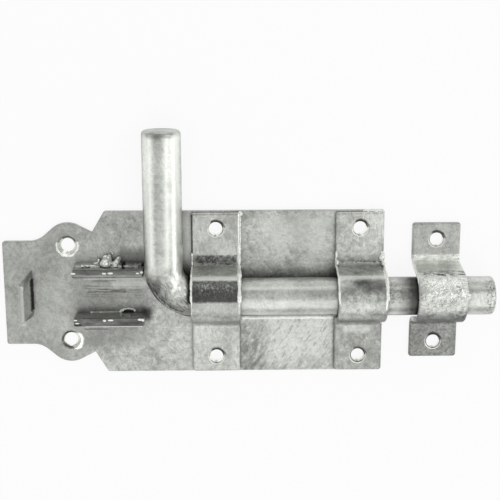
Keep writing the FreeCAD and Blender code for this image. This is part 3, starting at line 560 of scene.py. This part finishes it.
def finished(name, shape, body, finish, slot, *replaced):
    bmesh.ops.recalc_face_normals(shape, faces=shape.faces)
    for face in shape.faces:
        face.smooth = True
    mesh = bpy.data.meshes.new(name)
    shape.to_mesh(mesh)
    shape.free()
    piece = bpy.data.objects.new(name, mesh)
    bpy.context.scene.collection.objects.link(piece)
    mesh.materials.append(finishes[finish])
    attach(piece, body)
    if replaced:
        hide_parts(*replaced)


makeBolt()
print("slide bolt: bolt bent")


# Zinc and weld metal that ran and set: drops melted together

melt = {"fineness": 0.24, "wobble": 0.12, "wobbleSize": 1.3, "flow": 0.5, "flowRounds": 3,
        "seat": 1.0}  # the lowest that it reaches, so that no drop comes through the plate's back
drip = {"jitter": 0.6, "length": (0.95, 1.35), "height": (0.8, 1.05)}  # shares of a bead's spread and width


def skinOf(node):
    shape = bmesh.new()
    shape.from_mesh(nodes[node].data)
    tree = BVHTree.FromBMesh(shape)
    shape.free()
    return tree


def skinPoint(skin, start, direction):
    hit = skin.ray_cast(Vector(start) * millimetre, Vector(direction))[0]
    return hit / millimetre if hit else None


def addDrop(shape, centre, radii, lean=0.0):
    place = Matrix.Translation(Vector(centre) * millimetre) @ Matrix.Rotation(math.radians(lean), 4, "X")
    place = place @ Matrix.Diagonal((*(size * millimetre for size in radii), 1))
    bmesh.ops.create_icosphere(shape, subdivisions=3, radius=1.0, matrix=place)


def melted(name, drops, body, finish, slot, *replaced, fineness=melt["fineness"], wobble=melt["wobble"]):
    shape = bmesh.new()
    for drop in drops:
        addDrop(shape, *drop)
    loose = bpy.data.meshes.new("drops")
    shape.to_mesh(loose)
    shape.free()
    holder = bpy.data.objects.new("drops", loose)
    bpy.context.scene.collection.objects.link(holder)
    remesh = holder.modifiers.new("fused", "REMESH")
    remesh.mode, remesh.voxel_size = "VOXEL", fineness * millimetre
    smooth = holder.modifiers.new("flow", "SMOOTH")
    smooth.factor, smooth.iterations = melt["flow"], melt["flowRounds"]
    bpy.context.view_layer.update()
    solid = bpy.data.meshes.new_from_object(holder.evaluated_get(bpy.context.evaluated_depsgraph_get()))
    bpy.data.objects.remove(holder)
    shape = bmesh.new()
    shape.from_mesh(solid)
    shape.normal_update()
    for vertex in shape.verts:
        uneven = noise.noise(vertex.co / millimetre / melt["wobbleSize"])
        vertex.co += vertex.normal * wobble * millimetre * uneven
        vertex.co.z = max(vertex.co.z, melt["seat"] * millimetre)
    finished(name, shape, body, finish, slot, *replaced)


def beadDrops(start, end, step, size, seed, spread=0.25):
    # a row of uneven drops from one end of a seam to the other
    draw = random.Random(seed)
    start, end = Vector(start), Vector(end)
    count = max(2, round((end - start).length / step))
    for number in range(count + 1):
        place = start.lerp(end, number / count)
        place += Vector([draw.uniform(-spread, spread) * drip["jitter"] for axis in range(3)])
        width = size * draw.uniform(1 - spread, 1 + spread)
        yield place, (width * draw.uniform(*drip["length"]), width, width * draw.uniform(*drip["height"]))


welds = {  # each drop is its place and its half lengths
    "upperLugWeld": dict(
        node="upper_lug_weld",
        seams=[dict(start=(-51, 15.2, 4.4), end=(-41, 15.2, 4.4), step=1.6, size=1.6, seed=5),
               dict(start=(-36.0, 15.5, 8.2), end=(-26.4, 15.2, 8.6), step=0.6, size=0.3, seed=14)],
        drops=[((-57.6, 15.9, 8.6), (0.9, 0.8, 1.5)), ((-56.4, 15.8, 7.6), (0.7, 0.7, 0.8)),
               ((-55.0, 15.9, 8.4), (1.1, 0.7, 1.2)), ((-53.2, 15.8, 8.0), (0.9, 0.6, 0.7)),
               ((-51.6, 15.8, 8.1), (1.0, 0.6, 0.8)), ((-45.6, 17.0, 6.4), (2.8, 3.0, 4.4)),
               ((-44.4, 18.6, 5.0), (1.7, 2.2, 2.4)), ((-47.4, 16.6, 6.6), (1.6, 1.8, 2.4)),
               ((-44.0, 20.2, 4.2), (1.0, 1.1, 1.4)), ((-46.0, 19.4, 4.4), (1.6, 1.6, 1.9)),
               ((-49.6, 17.8, 4.8), (0.7, 1.1, 1.2)), ((-39.9, 17.4, 5.4), (1.6, 1.9, 2.8)),
               ((-39.2, 18.8, 4.4), (1.3, 1.3, 1.7)), ((-41.6, 16.4, 5.6), (1.3, 1.5, 2.4)),
               ((-40.6, 15.6, 8.0), (1.2, 0.8, 1.2)), ((-42.4, 21.4, 3.4), (0.6, 0.7, 0.9)),
               ((-43.2, 22.4, 3.3), (0.4, 0.4, 0.5)), ((-45.2, 23.0, 3.2), (0.45, 0.45, 0.5)),
               ((-50.8, 19.6, 3.2), (0.4, 0.4, 0.5))]),
    "lowerLugWeld": dict(
        node="lower_lug_weld", finish="filletZinc",
        seams=[dict(start=(-60.0, -15.3, 3.5), end=(-28.6, -15.3, 3.5), step=1.0, size=1.25, seed=11)],
        drops=[((-48.4, -16.4, 3.6), (1.2, 0.8, 0.8)), ((-33.0, -16.6, 3.3), (1.4, 0.9, 0.7)),
               ((-57.0, -16.2, 3.3), (1.6, 0.8, 0.6))]),
    "rearKeeperWeld": dict(
        node="rear_keeper_weld",
        seams=[dict(start=(24.4, 20.0, 3.6), end=(24.4, 41.5, 3.6), step=0.5, size=0.56, seed=21, spread=0.12)],
        drops=[((24.5, 42.2, 4.6), (1.4, 1.4, 1.5)), ((24.5, 40.4, 4.0), (0.7, 1.0, 0.8)),
               ((24.4, 36.4, 3.8), (0.7, 1.8, 0.7)), ((24.4, 27.0, 3.8), (0.66, 2.4, 0.7))]),
    "frontKeeperWeld": dict(
        node="front_keeper_weld",
        seams=[dict(start=(89.4, 43.3, 3.6), end=(98.0, 43.3, 3.6), step=1.0, size=0.8, seed=31)],
        drops=[((91.0, 43.4, 4.4), (0.9, 0.8, 0.8)), ((95.4, 43.4, 4.6), (1.2, 0.8, 0.9)),
               ((98.6, 43.0, 4.4), (0.9, 0.7, 0.9))]),
}
for name, weld in welds.items():
    drops = list(weld["drops"])
    for seam in weld["seams"]:
        drops += beadDrops(**seam)
    melted(name, drops, "base", weld.get("finish", "weldZinc"), "zinc_weld", weld["node"])
print("slide bolt: welds run")

zincRuns = {
    "upperLugRuns": [
        ((-61.6, 13.2, 14.4), (1.5, 0.6, 0.36)),
        ((-45.8, 13.2, 14.5), (1.2, 0.6, 0.34)), ((-42.6, 13.3, 14.5), (1.6, 0.6, 0.34)),
        ((-28.6, 13.2, 14.5), (1.1, 0.5, 0.3)), ((-26.6, 13.7, 14.3), (0.9, 0.8, 0.5))],
    "lowerLugRuns": [
        ((-61.4, -11.8, 14.4), (1.1, 0.5, 0.36)), ((-60.6, -13.4, 14.5), (1.3, 0.45, 0.3)),
        ((-46.4, -12.0, 14.5), (1.0, 0.7, 0.36)),
        ((-43.2, -11.8, 14.5), (1.7, 0.6, 0.34)), ((-28.0, -11.6, 14.4), (1.4, 0.7, 0.4)),
        ((-47.2, -10.5, 3.1), (9.5, 0.28, 0.3)), ((-54.6, -10.5, 3.2), (0.7, 0.45, 0.5)),
        ((-49.6, -10.5, 3.2), (0.6, 0.45, 0.5)),
        # bright drips in an arc under the lower lug's hole, standing in for the light that comes through the hole
        ((-39.2, -10.4, 3.1), (0.7, 0.9, 0.7)), ((-38.3, -9.5, 3.3), (1.0, 0.8, 0.7)),
        ((-36.8, -8.9, 3.2), (1.2, 0.55, 0.6)), ((-34.8, -8.6, 3.2), (1.3, 0.5, 0.55)),
        ((-33.0, -8.9, 3.2), (1.0, 0.5, 0.55)), ((-31.7, -9.8, 3.1), (0.6, 0.8, 0.6)),
        ((-26.5, -11.9, 14.2), (0.8, 0.9, 0.6))],
    "rearKeeperRuns": [
        ((-1.0, 20.6, 5.4), (0.6, 1.3, 0.9)), ((-0.7, 17.0, 8.6), (0.6, 1.2, 1.4)),
        ((24.1, 14.5, 14.0), (0.45, 0.7, 5.0)), ((24.1, 20.0, 6.0), (0.5, 2.2, 1.0))],
    "frontKeeperRuns": [
        ((98.6, 18.8, 6.6), (1.6, 2.2, 1.4)), ((99.0, 16.6, 9.6), (1.1, 1.3, 2.4)),
        ((74.9, 17.0, 8.6), (1.0, 1.5, 2.2)), ((74.8, 20.4, 6.0), (0.7, 2.2, 0.9))],
    "catchRuns": [
        ((116.6, 19.2, 3.4), (1.2, 0.7, 0.5)), ((119.8, 19.2, 3.3), (1.1, 0.6, 0.45)),
        ((126.0, 19.3, 3.2), (4.6, 0.5, 0.4)), ((138.6, 19.4, 3.2), (1.7, 0.7, 0.6)),
        ((133.0, 19.2, 3.1), (2.2, 0.4, 0.35)), ((118.4, 18.1, 3.4), (2.8, 0.9, 0.4)),
        ((126.6, 18.0, 3.4), (3.6, 0.8, 0.4)), ((136.4, 18.1, 3.4), (3.0, 0.8, 0.4))],
}
for name, drops in zincRuns.items():
    body = "catch" if name == "catchRuns" else "base"
    melted(name, drops, body, "beadZinc", "zinc_weld", fineness=0.2, wobble=0.08)

fillet = {  # the run of zinc along the upper lug's foot
    "start": (-61.0, 15.0, 3.4), "end": (-27.8, 15.0, 3.4), "step": 1.1,
    "reach": (1.7, 1.8, 5.4), "spread": (0.9, 1.12), "seed": 41,
}


def filletDrops():
    draw, start, end = random.Random(fillet["seed"]), Vector(fillet["start"]), Vector(fillet["end"])
    count = round((end - start).length / fillet["step"])
    for number in range(count + 1):
        radii = [size * draw.uniform(*fillet["spread"]) for size in fillet["reach"]]
        yield start.lerp(end, number / count), radii


melted("upperLugFillet", filletDrops(), "base", "filletZinc", "zinc_weld")
print("slide bolt: zinc runs set")


# Zinc lumps on the catch's crown, and beads along the straps' edges

crownLumps = {
    "node": "catch", "count": 40, "seed": 17, "x": (118, 139.4), "arch": (-16, 56),
    "across": (1.0, 2.6), "height": (0.28, 0.48), "stretch": (0.8, 1.4), "castFrom": 40,
    "wrinkles": 9, "wrinkleArch": (61, 74), "wrinkleLength": (1.6, 4.0), "wrinkleWidth": 0.4,
}


def crownDrops():
    draw, skin = random.Random(crownLumps["seed"]), skinOf(crownLumps["node"])
    for count in range(crownLumps["count"] + crownLumps["wrinkles"]):
        wrinkle = count >= crownLumps["count"]
        x, arch = draw.uniform(*crownLumps["x"]), draw.uniform(*crownLumps["wrinkleArch" if wrinkle else "arch"])
        lift = Vector((0, math.sin(math.radians(arch)), math.cos(math.radians(arch))))
        start = Vector((x, 0, zinc["archHeight"])) + lift * crownLumps["castFrom"]
        across, height = draw.uniform(*crownLumps["across"]), draw.uniform(*crownLumps["height"])
        length = across * draw.uniform(*crownLumps["stretch"])
        if wrinkle:
            across, length = crownLumps["wrinkleWidth"], draw.uniform(*crownLumps["wrinkleLength"])
            x = min(max(x, crownLumps["x"][0] + length), crownLumps["x"][1] - length)
            start.x = x
        yield skinPoint(skin, start, -lift), (length, across, height), -arch


melted("catchLumps", crownDrops(), "catch", "catchZinc", "galvanised_strap", fineness=0.22, wobble=0.1)

edgeBeads = {  # strap, side, stretch along Y, thickness
    "rearKeeperEdgeLeft": ("rear_keeper", -1, (0.4, 22.0), 0.55),
    "rearKeeperEdgeRight": ("rear_keeper", 1, (-0.6, 27.0), 1.15),
    "frontKeeperEdgeLeft": ("front_keeper", -1, (0.4, 21.4), 0.5),
    "frontKeeperEdgeRight": ("front_keeper", 1, (0.2, 22.0), 0.72),
    "catchEdgeLeft": ("catch", -1, (8.0, 17.4), 0.3),
}
edgeShape = {
    "step": 0.2, "inset": 0.6, "castFrom": 60, "sink": 0.25, "taper": 6, "endShare": 0.25, "corners": 12,
    "swell": 0.5, "swellPitch": 0.28, "ripple": 0.3, "ripplePitch": 0.9,
}


def joinRings(shape, pairs, corners):
    for before, after in pairs:
        for corner in range(corners):
            following = (corner + 1) % corners
            shape.faces.new((before[corner], before[following], after[following], after[corner]))


def makeEdgeBead(name, node, side, reach, size):
    low, high = (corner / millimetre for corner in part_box(node))
    x = high.x if side > 0 else low.x
    skin, line = skinOf(node), []
    for count in range(int((reach[1] - reach[0]) / edgeShape["step"])):
        start = (x - side * edgeShape["inset"], reach[1] - count * edgeShape["step"], edgeShape["castFrom"])
        point = skinPoint(skin, start, (0, 0, -1))
        if point:
            line.append(Vector((x - side * (size * 0.5), point.y, point.z - edgeShape["sink"])))
    shape, rings, corners = bmesh.new(), [], edgeShape["corners"]
    for count, place in enumerate(line):
        ahead = (line[min(count + 1, len(line) - 1)] - line[max(count - 1, 0)]).normalized()
        across = Vector((1, 0, 0))
        lift = across.cross(ahead).normalized()
        ends = min(1, count / edgeShape["taper"], (len(line) - 1 - count) / edgeShape["taper"])
        uneven = 1 + edgeShape["swell"] * noise.noise(place * edgeShape["swellPitch"])
        uneven += edgeShape["ripple"] * noise.noise(place * edgeShape["ripplePitch"])
        fullness = size * (edgeShape["endShare"] + (1 - edgeShape["endShare"]) * ends) * uneven
        ring = []
        for corner in range(corners):
            lean = 2 * math.pi * corner / corners
            out = across * math.cos(lean) + lift * math.sin(lean)
            ring.append(shape.verts.new((place + fullness * out) * millimetre))
        rings.append(ring)
    joinRings(shape, zip(rings, rings[1:]), corners)
    shape.faces.new(rings[0])
    shape.faces.new(rings[-1])
    finished(name, shape, "catch" if node == "catch" else "base", "beadZinc", "zinc_weld")


for name, bead in edgeBeads.items():
    makeEdgeBead(name, *bead)
print("slide bolt: lumps and edge beads set")


# Zinc drawn round the screw holes: a thin lip, thickest where it drained

lips = {
    "holeRadius": 3.5, "widening": 0.8, "width": 0.34, "height": 0.3, "sink": 0.05, "around": 72, "section": 10,
    "drain": -100,  # degrees, the side where the lip is thickest
    "drainPower": 1.5, "thin": 0.1, "waver": 0.3, "waverPitch": 2.2,
    "faces": {"rearKeeper": ("rear_keeper", 6.0), "frontKeeper": ("front_keeper", 6.0), "catch": ("catch", 3.0)},
}


def makeLip(centre):
    shape, rings, across = bmesh.new(), [], lips["holeRadius"] + lips["widening"]
    for count in range(lips["around"]):
        turn = 2 * math.pi * count / lips["around"]
        out = Vector((math.cos(turn), math.sin(turn), 0))
        drained = (0.5 + 0.5 * math.cos(turn - math.radians(lips["drain"]))) ** lips["drainPower"]
        fullness = lips["thin"] + (1 - lips["thin"]) * drained
        fullness *= 1 + lips["waver"] * noise.noise(Vector((centre[0], turn * lips["waverPitch"], centre[1])))
        ring = []
        for corner in range(lips["section"]):
            lean = 2 * math.pi * corner / lips["section"]
            offset = out * math.cos(lean) * lips["width"] * fullness
            offset += Vector((0, 0, math.sin(lean) * lips["height"] * fullness))
            ring.append(shape.verts.new((Vector(centre) + out * across + offset) * millimetre))
        rings.append(ring)
    joinRings(shape, zip(rings, rings[1:] + rings[:1]), lips["section"])
    return shape


for holes, (node, faceHeight) in lips["faces"].items():
    low, high = (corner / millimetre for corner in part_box(node))
    for level, (along, y) in zip(("Upper", "Lower"), screwHoles[holes]):
        centre = ((low.x + high.x) / 2, y, faceHeight - lips["sink"])
        body = "catch" if node == "catch" else "base"
        finished(holes + "Lip" + level, makeLip(centre), body, "beadZinc", "zinc_weld")
print("slide bolt: lips round the screw holes")


# Floor, world, lamps and camera

studio = {  # lengths in metres
    "floorReach": 25.0, "floorSides": 64, "floorDrop": 0.4 * millimetre, "floorGrey": 0.86, "floorGlow": 0.9,
    "roomGrey": 0.5, "lampAim": (0.0, 0.0, 0.0),
    "lamps": {  # glow is the lamp's brightness as the zinc mirrors it
        "frontBox": dict(place=(0.05, -0.62, 0.9), size=(1.4, 1.1), glow=0.83),
        "leftBox": dict(place=(-0.95, 0.0, 0.5), size=(0.8, 0.7), glow=0.8),
        "rightBox": dict(place=(0.72, 0.2, 0.85), size=(0.5, 0.7), glow=1.5),
        "backStrip": dict(place=(0.05, 0.95, 0.4), size=(1.0, 0.26), glow=1.3),
        "sideStrip": dict(place=(0.95, -0.1, 0.3), size=(0.7, 0.4), glow=1.1),
    },
}


def makeFloor():
    mesh = bpy.data.meshes.new("paleFloor")
    shape = bmesh.new()
    bmesh.ops.create_circle(shape, cap_ends=True, segments=studio["floorSides"], radius=studio["floorReach"])
    shape.to_mesh(mesh)
    shape.free()
    floor = bpy.data.objects.new("paleFloor", mesh)
    floor.location = (0, 0, -studio["floorDrop"])
    bpy.context.scene.collection.objects.link(floor)
    material, tree = newMaterial("palePaper")
    rays = addNode(tree, "ShaderNodeLightPath").outputs
    seen = combined(tree, "MAXIMUM", rays["Is Camera Ray"], rays["Is Glossy Ray"])
    seen = combined(tree, "MAXIMUM", seen, rays["Is Transmission Ray"])
    paper = addNode(tree, "ShaderNodeBsdfDiffuse", {"Color": grey(studio["floorGrey"])})
    glow = addNode(tree, "ShaderNodeEmission", {"Color": (1, 1, 1, 1), "Strength": 1.0})
    mixed = addNode(tree, "ShaderNodeMixShader", {0: times(tree, seen, studio["floorGlow"]),
                    1: paper.outputs[0], 2: glow.outputs[0]})
    addNode(tree, "ShaderNodeOutputMaterial", {0: mixed.outputs[0]})
    mesh.materials.append(material)


def makeWorld():
    world = bpy.data.worlds.new("studioRoom")
    bpy.context.scene.world = world
    world.use_nodes = True
    background = world.node_tree.nodes["Background"]
    background.inputs["Color"].default_value = grey(studio["roomGrey"])
    background.inputs["Strength"].default_value = 1.0


def makeLamps():
    for name, lamp in studio["lamps"].items():
        data = bpy.data.lights.new(name, "AREA")
        data.shape = "RECTANGLE"
        data.size, data.size_y = lamp["size"]
        data.energy = lamp["glow"] * math.pi * data.size * data.size_y
        light = bpy.data.objects.new(name, data)
        light.location = lamp["place"]
        aim = Vector(studio["lampAim"]) - Vector(lamp["place"])
        light.rotation_euler = aim.to_track_quat("-Z", "Y").to_euler()
        bpy.context.scene.collection.objects.link(light)


view = {
    "place": (0.01988, 0.13151, 0.50829), "near": 0.02, "far": 60.0,  # metres
    "turns": (12.15555, 1.07499, 0.35630),  # degrees about X, Y and Z
    "lens": 70.85, "sensor": 36.0,  # millimetres
}


def makeCamera():
    data = bpy.data.cameras.new("camera")
    data.sensor_width, data.lens = view["sensor"], view["lens"]
    data.clip_start, data.clip_end = view["near"], view["far"]
    camera = bpy.data.objects.new("camera", data)
    tilt, swing, roll = (math.radians(angle) for angle in view["turns"])
    turn = Matrix.Rotation(roll, 3, "Z") @ Matrix.Rotation(swing, 3, "Y") @ Matrix.Rotation(tilt, 3, "X")
    camera.matrix_world = Matrix.Translation(Vector(view["place"])) @ turn.transposed().to_4x4()
    bpy.context.scene.collection.objects.link(camera)
    bpy.context.scene.camera = camera


makeFloor()
makeWorld()
makeLamps()
makeCamera()
bpy.context.scene.view_settings.view_transform = "Standard"
print("slide bolt: stage, lamps and camera stand")
